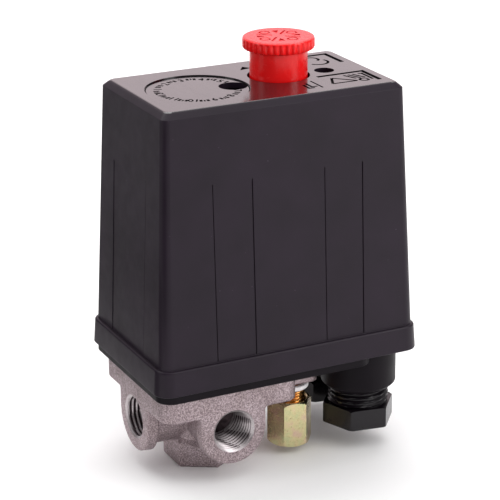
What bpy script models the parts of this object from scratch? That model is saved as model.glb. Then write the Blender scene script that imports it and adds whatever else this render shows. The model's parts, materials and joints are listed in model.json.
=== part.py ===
"""Air-compressor pressure switch with a four-port manifold, an unloader valve and two cable glands.

Lengths are in millimetres and are turned into metres where a mesh is made. The origin is the centre of the
bottom port's mouth, +Z is up, X runs along the housing and -Y is the front. The whole part hangs on a pipe
nipple screwed into the bottom port.
"""

from math import cos, pi, radians, sin, sqrt

import bmesh
import bpy
from mathutils import Matrix, Vector

MM = 0.001
GAP = 0.3  # left between any two pieces that touch

# Housing
HOUSING_X = 18.1  # centre of the cover along X
SKIRT_HALF = (43.35, 27.3)
LIP_HALF = (42.85, 26.85)
SEAM_HALF = (41.8, 25.8)
SHOULDER_HALF = (38.66, 22.74)
TOP_HALF = (36.68, 20.78)
SKIRT_RADIUS = 5.0
BODY_RADIUS = 3.1
SKIRT_BOTTOM = 33.4
SEAM_Z = 41.2
SHOULDER_Z = 114.9
COVER_TOP = 116.7
WALL = 2.2
STRIP_INNER, STRIP_OUTER, STRIP_TOP, STRIP_DEPTH = 11.7, 24.2, 94.4, 0.25

# Manifold, centred on the origin
PORT_Z = 17.0
MOUTH_X, MOUTH_Y = 22.3, 23.3  # how far the side, front and rear port faces stand from the axis
PORT_RADIUS = 6.1
PORT_MOUTH_RADIUS = 6.9
PORT_DEPTH = 12.0
SIDE_PASSAGE, MAIN_PASSAGE = 3.0, 4.2  # radii of the drillings that join the ports
BOSS_RADIUS = 10.5
BOSS_SLAB = 3.5
ARM_RADIUS = 9.0
FLANGE_BOTTOM, FLANGE_TOP, FLANGE_RADIUS = 22.9, 30.4, 5.0
TONGUE_END, TONGUE_HALF = 34.0, 13.6
FOOT_FLATS, FOOT_TOP = 20.8, 7.5
FLANGE_SCREWS = [(x, y) for x in (-16.0, 16.0) for y in (-17.0, 17.0)]
FLANGE_SCREW_HOLE = 2.3
DIAPHRAGM_POCKET_RADIUS, DIAPHRAGM_POCKET_BOTTOM = 13.4, 28.9

# Base frame
BASE_BOTTOM = FLANGE_TOP + GAP
BASE_TOP = 36.0
RIM_HALF_Y, RIM_TOP = 26.3, SKIRT_BOTTOM - GAP
RIM_LEFT, RIM_RIGHT = HOUSING_X - 42.4, 46.1
PLUG_HALF = (40.0, 24.0)
COVER_SCREWS = [(26.0, -20.0), (26.0, 20.0)]
COVER_SCREW_HOLE, COVER_SCREW_WELL = 1.9, 3.3

# Cable glands
GLAND_X, GLAND_Y = 48.05, 12.3
GLAND_BOSS_RADIUS, GLAND_BOSS_BOTTOM = 11.58, 19.2
GLAND_BORE = 9.8
GLAND_NUT_BOTTOM, GLAND_HEX_HEIGHT, GLAND_FLATS = 7.3, 6.5, 19.8
GLAND_THREAD_TOP, CABLE_RADIUS = 22.5, 6.3
HEX_TURN = radians(-9.5)  # how far a flat of each nut is turned away from facing the front

# Unloader valve
UNLOADER = (25.9, -8.6)
UNLOADER_FLATS, UNLOADER_NUT_BOTTOM, UNLOADER_NUT_TOP = 12.3, 2.6, 17.4
UNLOADER_STEM, UNLOADER_SPIGOT, UNLOADER_BORE = 4.9, 4.1, 1.7
TUBE_RADIUS = 3.2

# Mechanism
FLOOR_Z, SHEET = BASE_TOP + GAP, 1.5
BRIDGE_Z = 104.5
LEVER_Z, LEVER_THICK, LEVER_PIVOT_X = 46.0, 2.0, -15.0
TRIP_PIVOT = (36.0, 66.0)
PIN_RADIUS, PIN_HOLE = 1.5, 1.8
MAIN_AXIS = (10.8, -2.3)
DIFF_AXIS = (42.1, 0.0)
KNOB_AXIS = (27.6, 1.5)
KNOB_WELL, MAIN_WELL, DIFF_WELL = 9.1, 4.25, 3.0  # radii of the holes in the cover's top
KNOB_TOP, KNOB_CAP_RADIUS, KNOB_NECK_RADIUS, KNOB_FLUTES = 128.6, 10.7, 8.65, 36
ROD_RADIUS, ROD_BOTTOM = 3.0, 68.2
CARRIER_BOTTOM, CARRIER_HEAD = LEVER_Z + LEVER_THICK + GAP, 69.0
BLOCK_TOP = 66.0
POLE_Y = (-10.2, -3.4, 3.4, 10.2)
TERMINAL_X = 52.5
EARTH_SCREWS = [(33.5, -9.5), (33.5, 9.5)]
SMALL_SCREW_HOLE = 1.8


# Outlines and meshes --------------------------------------------------------------------------------------


def circle(radius, steps, turn=0.0, centre=(0.0, 0.0)):
    angles = [turn + 2 * pi * i / steps for i in range(steps)]
    return [(centre[0] + radius * cos(a), centre[1] + radius * sin(a)) for a in angles]


def hexagon(flats, turn=0.0, centre=(0.0, 0.0)):
    """A hexagon whose first flat faces +X when turn is 0."""
    return circle(flats / sqrt(3), 6, turn + pi / 6, centre)


def rounded_rectangle(x0, x1, y0, y1, radius, steps=4):
    corners = ((x1, y1, 0), (x0, y1, 1), (x0, y0, 2), (x1, y0, 3))
    points = []
    for x, y, quarter in corners:
        cx = x - radius if x == x1 else x + radius
        cy = y - radius if y == y1 else y + radius
        for i in range(steps + 1):
            angle = (quarter + i / steps) * pi / 2
            points.append((cx + radius * cos(angle), cy + radius * sin(angle)))
    return points


def housing_outline(half, radius, steps=4):
    return rounded_rectangle(HOUSING_X - half[0], HOUSING_X + half[0], -half[1], half[1], radius, steps)


def arch(half_width, centre_height, top, steps=12):
    """A U shape, round at the bottom and open towards the top, as (across, up) points."""
    round_part = [pi + pi * i / steps for i in range(steps + 1)]
    points = [(half_width * cos(a), centre_height + half_width * sin(a)) for a in round_part]
    return points + [(half_width, top), (-half_width, top)]


def at_height(outline, z):
    return [(x, y, z) for x, y in outline]


def loft(*sections):
    """A closed body through sections that have the same number of points."""
    bm = bmesh.new()
    rings = [[bm.verts.new(point) for point in section] for section in sections]
    count = len(rings[0])
    for low, high in zip(rings, rings[1:]):
        for i in range(count):
            j = (i + 1) % count
            bm.faces.new((low[i], low[j], high[j], high[i]))
    bm.faces.new(rings[0])
    bm.faces.new(rings[-1])
    bmesh.ops.recalc_face_normals(bm, faces=bm.faces)
    return bm


def prism(outline, z0, z1):
    return loft(at_height(outline, z0), at_height(outline, z1))


def box(x0, x1, y0, y1, z0, z1):
    return prism([(x0, y0), (x1, y0), (x1, y1), (x0, y1)], z0, z1)


def turned(profile, steps=32):
    """A body of revolution about Z from (radius, z) points. It closes on itself or on the axis."""
    bm = bmesh.new()
    verts = [bm.verts.new((radius, 0, z)) for radius, z in profile]
    ends_on_axis = profile[0][0] == 0 and profile[-1][0] == 0
    pairs = list(zip(verts, verts[1:])) + ([] if ends_on_axis else [(verts[-1], verts[0])])
    edges = [bm.edges.new(pair) for pair in pairs]
    bmesh.ops.spin(
        bm, geom=verts + edges, cent=(0, 0, 0), axis=(0, 0, 1), angle=2 * pi, steps=steps, use_merge=True
    )
    bmesh.ops.remove_doubles(bm, verts=bm.verts, dist=1e-4)
    bmesh.ops.recalc_face_normals(bm, faces=bm.faces)
    return bm


def cylinder(radius, z0, z1, steps=24):
    return turned([(0, z0), (radius, z0), (radius, z1), (0, z1)], steps)


def tube(outer, inner, z0, z1, steps=32):
    return turned([(inner, z0), (outer, z0), (outer, z1), (inner, z1)], steps)


def moved(bm, x=0.0, y=0.0, z=0.0):
    bmesh.ops.translate(bm, vec=(x, y, z), verts=bm.verts)
    return bm


def laid_along_y(bm, x, z):
    """Turns a body made about Z so that its axis runs along Y, through (x, z)."""
    bmesh.ops.rotate(bm, verts=bm.verts, matrix=Matrix.Rotation(-pi / 2, 3, "X"))
    return moved(bm, x, 0, z)


def facing(bm, direction, centre_z):
    """Turns a body made about Z so that its +Z end points along direction, at the ports' height."""
    turn = Vector((0, 0, 1)).rotation_difference(Vector(direction)).to_matrix()
    bmesh.ops.rotate(bm, verts=bm.verts, matrix=turn)
    return moved(bm, 0, 0, centre_z)


# Objects --------------------------------------------------------------------------------------------------


def clear_scene():
    for obj in list(bpy.data.objects):
        bpy.data.objects.remove(obj, do_unlink=True)


def finish_material(name, colour, roughness, metallic=0.0):
    material = bpy.data.materials.new(name)
    material.use_nodes = True
    shader = material.node_tree.nodes["Principled BSDF"]
    shader.inputs["Base Color"].default_value = (*colour, 1.0)
    shader.inputs["Roughness"].default_value = roughness
    shader.inputs["Metallic"].default_value = metallic
    material.diffuse_color = (*colour, 1.0)
    return material


def place(name, bm, origin=(0.0, 0.0, 0.0)):
    """Makes an object from a mesh drawn in world millimetres, with its origin at the given point."""
    bmesh.ops.translate(bm, vec=-Vector(origin), verts=bm.verts)
    bmesh.ops.scale(bm, vec=(MM, MM, MM), verts=bm.verts)
    mesh = bpy.data.meshes.new(name)
    bm.to_mesh(mesh)
    bm.free()
    mesh.shade_smooth()
    mesh.set_sharp_from_angle(angle=radians(35))
    obj = bpy.data.objects.new(name, mesh)
    obj.location = Vector(origin) * MM
    bpy.context.scene.collection.objects.link(obj)
    return obj


def part(name, bm, colour, roughness, metallic=0.0, origin=(0.0, 0.0, 0.0)):
    obj = place(name, bm, origin)
    obj.data.materials.append(finish_material(name + "_material", colour, roughness, metallic))
    return obj


def combine(target, operation, tools):
    """Adds one Boolean to target for each tool mesh, and hides the tools."""
    for number, bm in enumerate(tools):
        tool = place(f"{target.name}_{operation.lower()}_{number}", bm)
        tool.hide_render = True
        tool.display_type = "WIRE"
        modifier = target.modifiers.new(tool.name, "BOOLEAN")
        modifier.object = tool
        modifier.operation = operation
        modifier.solver = "EXACT"


BLACK = ((0.035, 0.03, 0.034), 0.38)
BASE_BLACK = ((0.02, 0.019, 0.022), 0.5)
RED = ((0.75, 0.012, 0.012), 0.35)
STEEL = ((0.62, 0.62, 0.6), 0.35, 1.0)
CAST = ((0.42, 0.39, 0.4), 0.5, 1.0)
BRASS = ((0.72, 0.48, 0.2), 0.3, 1.0)
YELLOW_ZINC = ((0.66, 0.56, 0.3), 0.32, 1.0)
COPPER = ((0.8, 0.45, 0.28), 0.3, 1.0)
RUBBER = ((0.02, 0.02, 0.02), 0.8)
PHENOLIC = ((0.12, 0.05, 0.03), 0.5)
NATURAL_NYLON = ((0.85, 0.84, 0.8), 0.5)


# Housing --------------------------------------------------------------------------------------------------


def cavity():
    inner = (
        ((41.3, 25.3), 3.4, SKIRT_BOTTOM - 1),
        ((39.6, 23.6), 2.6, SEAM_Z),
        ((36.4, 20.5), 2.0, COVER_TOP - WALL),
    )
    return loft(*(at_height(housing_outline(half, radius), z) for half, radius, z in inner))


def strip_recesses():
    """Shallow upright bands in each long side and in each end, that follow the slope of the walls."""
    low, high = SEAM_Z + 0.4, STRIP_TOP
    slope = [(SEAM_HALF[i] - SHOULDER_HALF[i]) / (SHOULDER_Z - SEAM_Z) for i in (0, 1)]

    def wall(axis, z):
        return SEAM_HALF[axis] - slope[axis] * (z - SEAM_Z) - STRIP_DEPTH

    for side in (-1, 1):
        for sign in (-1, 1):
            x0, x1 = sorted(HOUSING_X + side * edge for edge in (STRIP_INNER, STRIP_OUTER))
            inner = [(x0, sign * wall(1, low), low), (x1, sign * wall(1, low), low)]
            inner += [(x1, sign * wall(1, high), high), (x0, sign * wall(1, high), high)]
            yield loft(inner, [(x, y + sign * 5, z) for x, y, z in inner])
        inner = [(HOUSING_X + side * wall(0, z), y, z) for z, y in
                 ((low, -STRIP_INNER), (low, STRIP_INNER), (high, STRIP_INNER), (high, -STRIP_INNER))]
        yield loft(inner, [(x + side * 5, y, z) for x, y, z in inner])


def make_cover():
    outer = (
        (SKIRT_HALF, SKIRT_RADIUS, SKIRT_BOTTOM),
        (LIP_HALF, SKIRT_RADIUS, SEAM_Z - 0.6),
        ((LIP_HALF[0] - 0.5, LIP_HALF[1] - 0.5), SKIRT_RADIUS - 0.5, SEAM_Z),
        (SEAM_HALF, BODY_RADIUS, SEAM_Z),
        (SHOULDER_HALF, BODY_RADIUS, SHOULDER_Z),
        ((TOP_HALF[0] + 0.6, TOP_HALF[1] + 0.6), 2.2, COVER_TOP - 0.5),
        (TOP_HALF, 1.6, COVER_TOP),
    )
    shell = loft(*(at_height(housing_outline(half, radius), z) for half, radius, z in outer))
    cover = part("cover", shell, *BLACK)
    combine(cover, "DIFFERENCE", [cavity()])
    combine(cover, "UNION", [moved(cylinder(3.4, 36.4, 62.0), x, y) for x, y in COVER_SCREWS])
    holes = [moved(cylinder(COVER_SCREW_HOLE, 36.0, 48.0), x, y) for x, y in COVER_SCREWS]
    holes += [
        moved(cylinder(radius, COVER_TOP - 6, COVER_TOP + 1, 32), *axis)
        for radius, axis in ((KNOB_WELL, KNOB_AXIS), (MAIN_WELL, MAIN_AXIS), (DIFF_WELL, DIFF_AXIS))
    ]
    combine(cover, "DIFFERENCE", holes + list(strip_recesses()))


def make_base():
    rim = rounded_rectangle(RIM_LEFT, RIM_RIGHT, -RIM_HALF_Y, RIM_HALF_Y, SKIRT_RADIUS)
    base = part("base_frame", prism(rim, BASE_BOTTOM, RIM_TOP), *BASE_BLACK)
    bosses = []
    for side in (-1, 1):
        chamfer = GLAND_BOSS_RADIUS - 1.8
        profile = [(0, GLAND_BOSS_BOTTOM), (chamfer + 0.3, GLAND_BOSS_BOTTOM)]
        profile += [(GLAND_BOSS_RADIUS, GLAND_BOSS_BOTTOM + 1.6), (GLAND_BOSS_RADIUS, RIM_TOP)]
        profile += [(GLAND_BOSS_RADIUS - 1, RIM_TOP), (GLAND_BOSS_RADIUS - 1, 34.6), (0, 34.6)]
        bosses.append(moved(turned(profile, 40), GLAND_X, side * GLAND_Y))
    plug = prism(housing_outline(PLUG_HALF, 3.0), SKIRT_BOTTOM + 0.2, BASE_TOP)
    core = box(RIM_LEFT + 4, RIM_RIGHT + 1, -22, 22, RIM_TOP - 1, SKIRT_BOTTOM + 1)
    web = box(GLAND_X - 4, GLAND_X + 4, -2, 2, 24, 34.2)
    combine(base, "UNION", [core, plug, web] + bosses)
    holes = [cylinder(8.6, 30, 37, 32), moved(cylinder(UNLOADER_BORE, 30, 37, 16), *UNLOADER)]
    holes += [moved(cylinder(FLANGE_SCREW_HOLE, 30, 37, 16), x, y) for x, y in FLANGE_SCREWS]
    for x, y in COVER_SCREWS:
        stepped = [(0, 30), (COVER_SCREW_WELL, 30), (COVER_SCREW_WELL, 33.3), (COVER_SCREW_HOLE, 33.3)]
        stepped += [(COVER_SCREW_HOLE, 37), (0, 37)]
        holes.append(moved(turned(stepped, 20), x, y))
    holes += [moved(cylinder(SMALL_SCREW_HOLE, 31.6, 37, 16), x, y) for x, y in EARTH_SCREWS]
    for side in (-1, 1):
        stepped = [(0, 18), (GLAND_BORE, 18), (GLAND_BORE, 33), (7.0, 33), (7.0, 37), (0, 37)]
        holes.append(moved(turned(stepped, 40), GLAND_X, side * GLAND_Y))
    combine(base, "DIFFERENCE", holes)


def make_cover_screws():
    profile = [(0, 31.0), (2.9, 31.0), (2.9, 33.0), (1.6, 33.0), (1.6, 46.0), (0, 46.0)]
    for number, (x, y) in enumerate(COVER_SCREWS, 1):
        part(f"cover_screw_{number}", moved(turned(profile, 20), x, y), *STEEL)


# Manifold -------------------------------------------------------------------------------------------------


def port_arm(direction, reach):
    """A port's U-shaped slab and the narrower arm that joins it to the column."""
    across = Vector((-direction[1], direction[0]))
    out = Vector(direction)

    def extruded(half_width, start, end):
        ends = []
        for distance in (start, end):
            points = [out * distance + across * a for a, _ in arch(half_width, PORT_Z, 26)]
            heights = [z for _, z in arch(half_width, PORT_Z, 26)]
            ends.append([(p.x, p.y, z) for p, z in zip(points, heights)])
        return loft(*ends)

    return [extruded(BOSS_RADIUS, reach - BOSS_SLAB, reach), extruded(ARM_RADIUS, 2, reach - 1)]


def port_bore(passage, end):
    """A port's cutter: its mouth at z = 0, its bore below that, and a narrower passage down to end."""
    profile = [(0, 1.0), (PORT_MOUTH_RADIUS + 0.8, 1.0), (PORT_RADIUS, -0.8), (PORT_RADIUS, -PORT_DEPTH)]
    return turned(profile + [(passage, -PORT_DEPTH - 1.5), (passage, end), (0, end)], 28)


def make_manifold():
    flange = rounded_rectangle(-MOUTH_X, MOUTH_X, -MOUTH_Y, MOUTH_Y, FLANGE_RADIUS)
    manifold = part("manifold", prism(flange, FLANGE_BOTTOM, FLANGE_TOP), *CAST)
    tongue = rounded_rectangle(MOUTH_X - 6, TONGUE_END, -TONGUE_HALF, TONGUE_HALF, 3.0, 3)
    foot = hexagon(FOOT_FLATS)
    chamfered = hexagon(FOOT_FLATS - 1.0)
    shapes = [prism(tongue, FLANGE_BOTTOM, FLANGE_TOP), cylinder(11.0, FOOT_TOP - 1, 25, 32)]
    shapes.append(loft(at_height(chamfered, 0), at_height(foot, 0.6), at_height(foot, FOOT_TOP)))
    for direction, reach in (((-1, 0), MOUTH_X), ((0, -1), MOUTH_Y), ((0, 1), MOUTH_Y)):
        shapes += port_arm(direction, reach)
    combine(manifold, "UNION", shapes)
    bores = []
    for direction, reach in (((-1, 0, 0), MOUTH_X), ((0, -1, 0), MOUTH_Y), ((0, 1, 0), MOUTH_Y)):
        bore = port_bore(SIDE_PASSAGE, SIDE_PASSAGE + 0.2 - reach)
        bores.append(facing(moved(bore, z=reach), direction, PORT_Z))
    bores.append(facing(port_bore(MAIN_PASSAGE, -29.5), (0, 0, -1), 0))
    bores.append(cylinder(DIAPHRAGM_POCKET_RADIUS, DIAPHRAGM_POCKET_BOTTOM, 32, 32))
    stem = [(0, 22), (4.4, 22), (4.4, 27.5), (UNLOADER_BORE, 27.5), (UNLOADER_BORE, 32), (0, 32)]
    bores.append(moved(turned(stem, 20), *UNLOADER))
    bores += [moved(cylinder(FLANGE_SCREW_HOLE, 24.6, 32, 16), x, y) for x, y in FLANGE_SCREWS]
    combine(manifold, "DIFFERENCE", bores)


def make_diaphragm_and_piston():
    low = DIAPHRAGM_POCKET_BOTTOM + GAP
    part("diaphragm", cylinder(DIAPHRAGM_POCKET_RADIUS - 0.4, low, FLANGE_TOP, 32), *RUBBER)
    top = LEVER_Z - GAP
    profile = [(0, BASE_BOTTOM), (8.0, BASE_BOTTOM), (8.0, 33.2), (4.0, 33.2), (4.0, top), (0, top)]
    part("piston", turned(profile, 28), *STEEL)


def make_flange_screws():
    profile = [(0, 25.0), (2.0, 25.0), (2.0, 38.1), (3.8, 38.1), (3.8, 41.0), (0, 41.0)]
    for number, (x, y) in enumerate(FLANGE_SCREWS, 1):
        part(f"manifold_screw_{number}", moved(turned(profile, 16), x, y), *STEEL)


# Unloader valve -------------------------------------------------------------------------------------------


def make_unloader():
    x, y = UNLOADER
    axis = (x, y, 0.0)
    washer = tube(5.9, 4.7, 21.1, FLANGE_BOTTOM - GAP, 28)
    part("unloader_washer", moved(washer, x, y), *NATURAL_NYLON)
    stem = [(UNLOADER_BORE, 10.6), (4.3, 10.6), (UNLOADER_STEM, 11.2), (UNLOADER_STEM, 20.4)]
    stem += [(4.5, 20.8), (UNLOADER_SPIGOT, 20.8), (UNLOADER_SPIGOT, 27.2), (UNLOADER_BORE, 27.2)]
    part("unloader_body", moved(turned(stem, 28), x, y), *BRASS)
    low, high = UNLOADER_NUT_BOTTOM, UNLOADER_NUT_TOP
    flats = hexagon(UNLOADER_FLATS, HEX_TURN - pi / 2, (x, y))
    nut = part("unloader_nut", prism(flats, low, high), *YELLOW_ZINC, origin=axis)
    corner = UNLOADER_FLATS / sqrt(3)
    rounding = [(0, low), (corner - 1.6, low), (corner + 0.1, low + 1.4), (corner + 0.1, high - 0.9)]
    rounding += [(corner - 1.0, high), (0, high)]
    combine(nut, "INTERSECT", [moved(turned(rounding, 28), x, y)])
    hollow = [(0, low - 1), (TUBE_RADIUS, low - 1), (TUBE_RADIUS, 7.2), (5.2, 7.2)]
    hollow += [(5.2, high + 1), (0, high + 1)]
    combine(nut, "DIFFERENCE", [moved(turned(hollow, 28), x, y)])
    ferrule = [(TUBE_RADIUS, 7.5), (4.8, 7.5), (4.8, 8.6), (3.9, 10.2), (TUBE_RADIUS, 10.2)]
    part("unloader_ferrule", moved(turned(ferrule, 24), x, y), *BRASS, origin=axis)
    pin = [(0, 24.5), (1.2, 24.5), (1.2, 44.2), (2.2, 44.2), (2.2, LEVER_Z - GAP), (0, LEVER_Z - GAP)]
    part("unloader_pin", moved(turned(pin, 16), x, y), *STEEL, origin=axis)
    coil("unloader_spring", UNLOADER, 2.2, 0.5, 38.2, 43.8, 4)


# Cable glands ---------------------------------------------------------------------------------------------


def make_gland(name, y):
    axis = (GLAND_X, y, 0.0)
    low = GLAND_NUT_BOTTOM
    high = low + GLAND_HEX_HEIGHT
    head = hexagon(GLAND_FLATS, HEX_TURN - pi / 2, (GLAND_X, y))
    nut = part(f"gland_nut_{name}", prism(head, low, high), *BASE_BLACK, origin=axis)
    thread = [(0, high - 1), (9.4, high - 1), (9.4, GLAND_THREAD_TOP), (0, GLAND_THREAD_TOP)]
    combine(nut, "UNION", [moved(turned(thread, 36), GLAND_X, y)])
    combine(nut, "DIFFERENCE", [moved(cylinder(CABLE_RADIUS, low - 1, GLAND_THREAD_TOP + 1, 32), GLAND_X, y)])
    ring = tube(9.3, CABLE_RADIUS, GLAND_THREAD_TOP + GAP, GLAND_THREAD_TOP + 1.5)
    part(f"gland_ring_{name}", moved(ring, GLAND_X, y), *STEEL, origin=axis)
    part(f"gland_seal_{name}", moved(tube(9.3, 5.8, 26.8, 32.6), GLAND_X, y), *RUBBER)


# Mechanism ------------------------------------------------------------------------------------------------


def coil(name, axis, radius, wire, z0, z1, turns, sides=6, steps=14):
    """A compression spring with its ends drawn in flat, as one swept tube."""
    curve = bpy.data.curves.new(name, "CURVE")
    curve.dimensions = "3D"
    curve.bevel_depth = wire * MM
    curve.bevel_resolution = (sides - 4) // 2
    curve.use_fill_caps = True
    low, high = z0 + wire, z1 - wire
    count = int(turns * steps)
    spline = curve.splines.new("POLY")
    spline.points.add(count)
    for i in range(count + 1):
        angle = 2 * pi * i / steps
        z = low + (high - low) * i / count
        spline.points[i].co = (radius * cos(angle) * MM, radius * sin(angle) * MM, z * MM, 1)
    obj = bpy.data.objects.new(name, curve)
    obj.location = (axis[0] * MM, axis[1] * MM, 0)
    curve.materials.append(finish_material(name + "_material", *STEEL))
    bpy.context.scene.collection.objects.link(obj)


def make_frame():
    """The plated steel frame: a floor, pivot ears, four posts and the bridge that they carry."""
    top = FLOOR_Z + SHEET
    frame = part("mechanism_frame", box(-20, 22, -20.3, 20.3, FLOOR_Z, top), *STEEL)
    plates = [box(20, 40, -15, 15, FLOOR_Z, top), box(4, 47, -15, 15, BRIDGE_Z, BRIDGE_Z + SHEET)]
    for side in (-1, 1):
        near, far = sorted((side * 11.0, side * 12.5))
        plates.append(box(-19, 4.5, near, far, FLOOR_Z + 0.5, 52))
        plates.append(box(4, 11.3, near, far, FLOOR_Z + 0.5, BRIDGE_Z + 1))
        near, far = sorted((side * 13.5, side * 15.0))
        plates.append(box(31, 39, near, far, FLOOR_Z + 0.5, BRIDGE_Z + 1))
    combine(frame, "UNION", plates)
    holes = [cylinder(9.2, 35, 39, 28), moved(cylinder(PIN_HOLE, 35, 39, 16), *UNLOADER)]
    holes += [moved(cylinder(FLANGE_SCREW_HOLE, 35, 39, 16), x, y) for x, y in FLANGE_SCREWS + EARTH_SCREWS]
    for radius, axis in ((3.3, MAIN_AXIS), (3.4, KNOB_AXIS), (2.8, DIFF_AXIS)):
        holes.append(moved(cylinder(radius, 103, 108, 20), *axis))
    for x, z in ((LEVER_PIVOT_X, LEVER_Z + LEVER_THICK / 2), TRIP_PIVOT):
        holes.append(laid_along_y(cylinder(PIN_HOLE, -18, 18, 16), x, z))
    combine(frame, "DIFFERENCE", holes)


def make_pivot_pin(name, x, z, inside, outside):
    """A rivet along Y: its shank passes both cheeks and its heads stand outside them."""
    far = outside + 1.0
    profile = [(0, -far), (2.3, -far), (2.3, -inside), (PIN_RADIUS, -inside)]
    profile += [(PIN_RADIUS, inside), (2.3, inside), (2.3, far), (0, far)]
    part(name, laid_along_y(turned(profile, 16), x, z), *STEEL)


def make_pressure_lever():
    z = LEVER_Z + LEVER_THICK / 2
    outline = [(LEVER_PIVOT_X, -9.5), (19, -9.5), (25, -5), (44.3, -5), (44.3, 5), (25, 5), (19, 9.5)]
    outline.append((LEVER_PIVOT_X, 9.5))
    origin = (LEVER_PIVOT_X, 0.0, z)
    lever = part("pressure_lever", prism(outline, LEVER_Z, LEVER_Z + LEVER_THICK), *STEEL, origin=origin)
    combine(lever, "UNION", [laid_along_y(cylinder(3.2, -9.5, 9.5, 20), LEVER_PIVOT_X, z)])
    combine(lever, "DIFFERENCE", [laid_along_y(cylinder(PIN_HOLE, -12, 12, 16), LEVER_PIVOT_X, z)])


def make_trip_lever():
    x, z = TRIP_PIVOT
    arm = box(25.6, x + 3.2, -5, 5, z - 1, z + 1)
    lever = part("trip_lever", arm, *STEEL, origin=(x, 0.0, z))
    combine(lever, "UNION", [laid_along_y(cylinder(3.0, -6, 6, 20), x, z)])
    combine(lever, "DIFFERENCE", [laid_along_y(cylinder(PIN_HOLE, -8, 8, 16), x, z)])


def make_adjuster(name, axis, screw_radius, screw_top, seat_radius, seat_z, seat_thick):
    """An adjusting screw with a slotted end, and the spring seat that its tip pushes."""
    x, y = axis
    seat_top = seat_z + seat_thick
    rim = [(0, seat_z), (seat_radius, seat_z), (seat_radius, seat_top), (0, seat_top)]
    part(f"{name}_spring_seat", moved(turned(rim, 28), x, y), *STEEL, origin=(x, y, 0.0))
    tip = seat_top + GAP
    shank = [(0, tip), (screw_radius - 1, tip), (screw_radius, tip + 1)]
    shank += [(screw_radius, screw_top), (0, screw_top)]
    screw = part(f"{name}_adjusting_screw", moved(turned(shank, 24), x, y), *STEEL, origin=(x, y, 0.0))
    slot = box(x - 5, x + 5, y - 0.5, y + 0.5, screw_top - 1.4, screw_top + 1)
    combine(screw, "DIFFERENCE", [slot])


def make_knob():
    x, y = KNOB_AXIS
    steps = 2 * KNOB_FLUTES

    def ring(radius, z, flute=0.0):
        angles = [2 * pi * i / steps for i in range(steps)]
        radii = [radius - flute * (i % 2) for i in range(steps)]
        return [(x + r * cos(a), y + r * sin(a), z) for r, a in zip(radii, angles)]

    neck, cap, top = KNOB_NECK_RADIUS, KNOB_CAP_RADIUS, KNOB_TOP
    body = loft(
        ring(neck - 0.4, 110.6), ring(neck, 111.0), ring(neck, top - 3.6), ring(cap - 0.5, top - 3.3),
        ring(cap, top - 2.9, 0.35), ring(cap, top - 0.5, 0.35), ring(cap - 0.6, top),
    )
    knob = part("knob", body, *RED, origin=(x, y, 0.0))
    combine(knob, "DIFFERENCE", [moved(cylinder(ROD_RADIUS + 0.35, 110, 118, 20), x, y)])
    rod = [(0, ROD_BOTTOM), (ROD_RADIUS, ROD_BOTTOM), (ROD_RADIUS, 98), (4.5, 98), (4.5, 100)]
    rod += [(ROD_RADIUS, 100), (ROD_RADIUS, 117.6), (0, 117.6)]
    part("knob_rod", moved(turned(rod, 24), x, y), *STEEL, origin=(x, y, 0.0))


def make_contacts():
    head = CARRIER_HEAD
    carrier = part("contact_carrier", box(34.5, 48.5, -12.3, 12.3, head, head + 3), *PHENOLIC)
    combine(carrier, "UNION", [box(41.5, 44.5, -5, 5, CARRIER_BOTTOM, head + 1)])
    for name, sign in (("front", -1), ("rear", 1)):
        y0, y1 = sorted((sign * 1.2, sign * 12.3))
        part(f"moving_contact_{name}", box(45.3, 48.0, y0, y1, 67.6, head - GAP), *COPPER)
    block = part("terminal_block", box(48.6, 56.0, -14, 14, 58.0, BLOCK_TOP), *PHENOLIC)
    combine(block, "UNION", [box(49.5, 56.0, -4, 4, BASE_TOP + GAP, 59.0)])
    holes = [moved(cylinder(SMALL_SCREW_HOLE, 59, BLOCK_TOP + 1, 16), TERMINAL_X, y) for y in POLE_Y]
    combine(block, "DIFFERENCE", holes)
    low = BLOCK_TOP + GAP
    screw = [(0, 60), (1.5, 60), (1.5, low + 1.3), (2.8, low + 1.3), (2.8, low + 3.5), (0, low + 3.5)]
    for number, y in enumerate(POLE_Y, 1):
        strip = part(f"fixed_contact_{number}", box(45.0, 55.5, y - 2.1, y + 2.1, low, low + 1), *COPPER)
        hole = moved(cylinder(SMALL_SCREW_HOLE, low - 1, low + 2, 16), TERMINAL_X, y)
        combine(strip, "DIFFERENCE", [hole])
        part(f"terminal_screw_{number}", moved(turned(screw, 16), TERMINAL_X, y), *BRASS)
    earth = [(0, 32), (1.5, 32), (1.5, 38.1), (3.0, 38.1), (3.0, 40.3), (0, 40.3)]
    for number, (x, y) in enumerate(EARTH_SCREWS, 1):
        part(f"earth_screw_{number}", moved(turned(earth, 16), x, y), *BRASS)


def main():
    clear_scene()
    make_cover()
    make_base()
    make_cover_screws()
    make_manifold()
    make_diaphragm_and_piston()
    make_flange_screws()
    make_unloader()
    make_gland("front", -GLAND_Y)
    make_gland("rear", GLAND_Y)
    make_frame()
    make_pivot_pin("lever_pivot_pin", LEVER_PIVOT_X, LEVER_Z + LEVER_THICK / 2, 12.8, 12.8)
    make_pivot_pin("trip_lever_pin", *TRIP_PIVOT, 15.3, 15.3)
    make_pressure_lever()
    make_trip_lever()
    make_adjuster("main", MAIN_AXIS, 2.9, 111.5, 8.5, 80.6, 3.7)
    coil("main_spring", MAIN_AXIS, 7.0, 1.0, 48.3, 80.3, 7)
    make_adjuster("differential", DIFF_AXIS, 2.4, 110.5, 5.5, 85.0, 3.0)
    coil("differential_spring", DIFF_AXIS, 4.2, 0.6, 72.3, 84.7, 5)
    make_knob()
    make_contacts()


main()
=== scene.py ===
"""Looks for the air-compressor pressure switch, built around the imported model.

Shapes are drawn in millimetres, in the frame's own axes, and are turned into metres when a piece is made.
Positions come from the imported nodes' boxes. The cover, the base, the knob, the manifold, the unloader valve,
the cable glands, the springs and the screws are new pieces that stand for their CAD nodes. The rest are
copies of their nodes with softened edges.
"""

import json
from math import cos, pi, radians, sin, sqrt, tau

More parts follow.
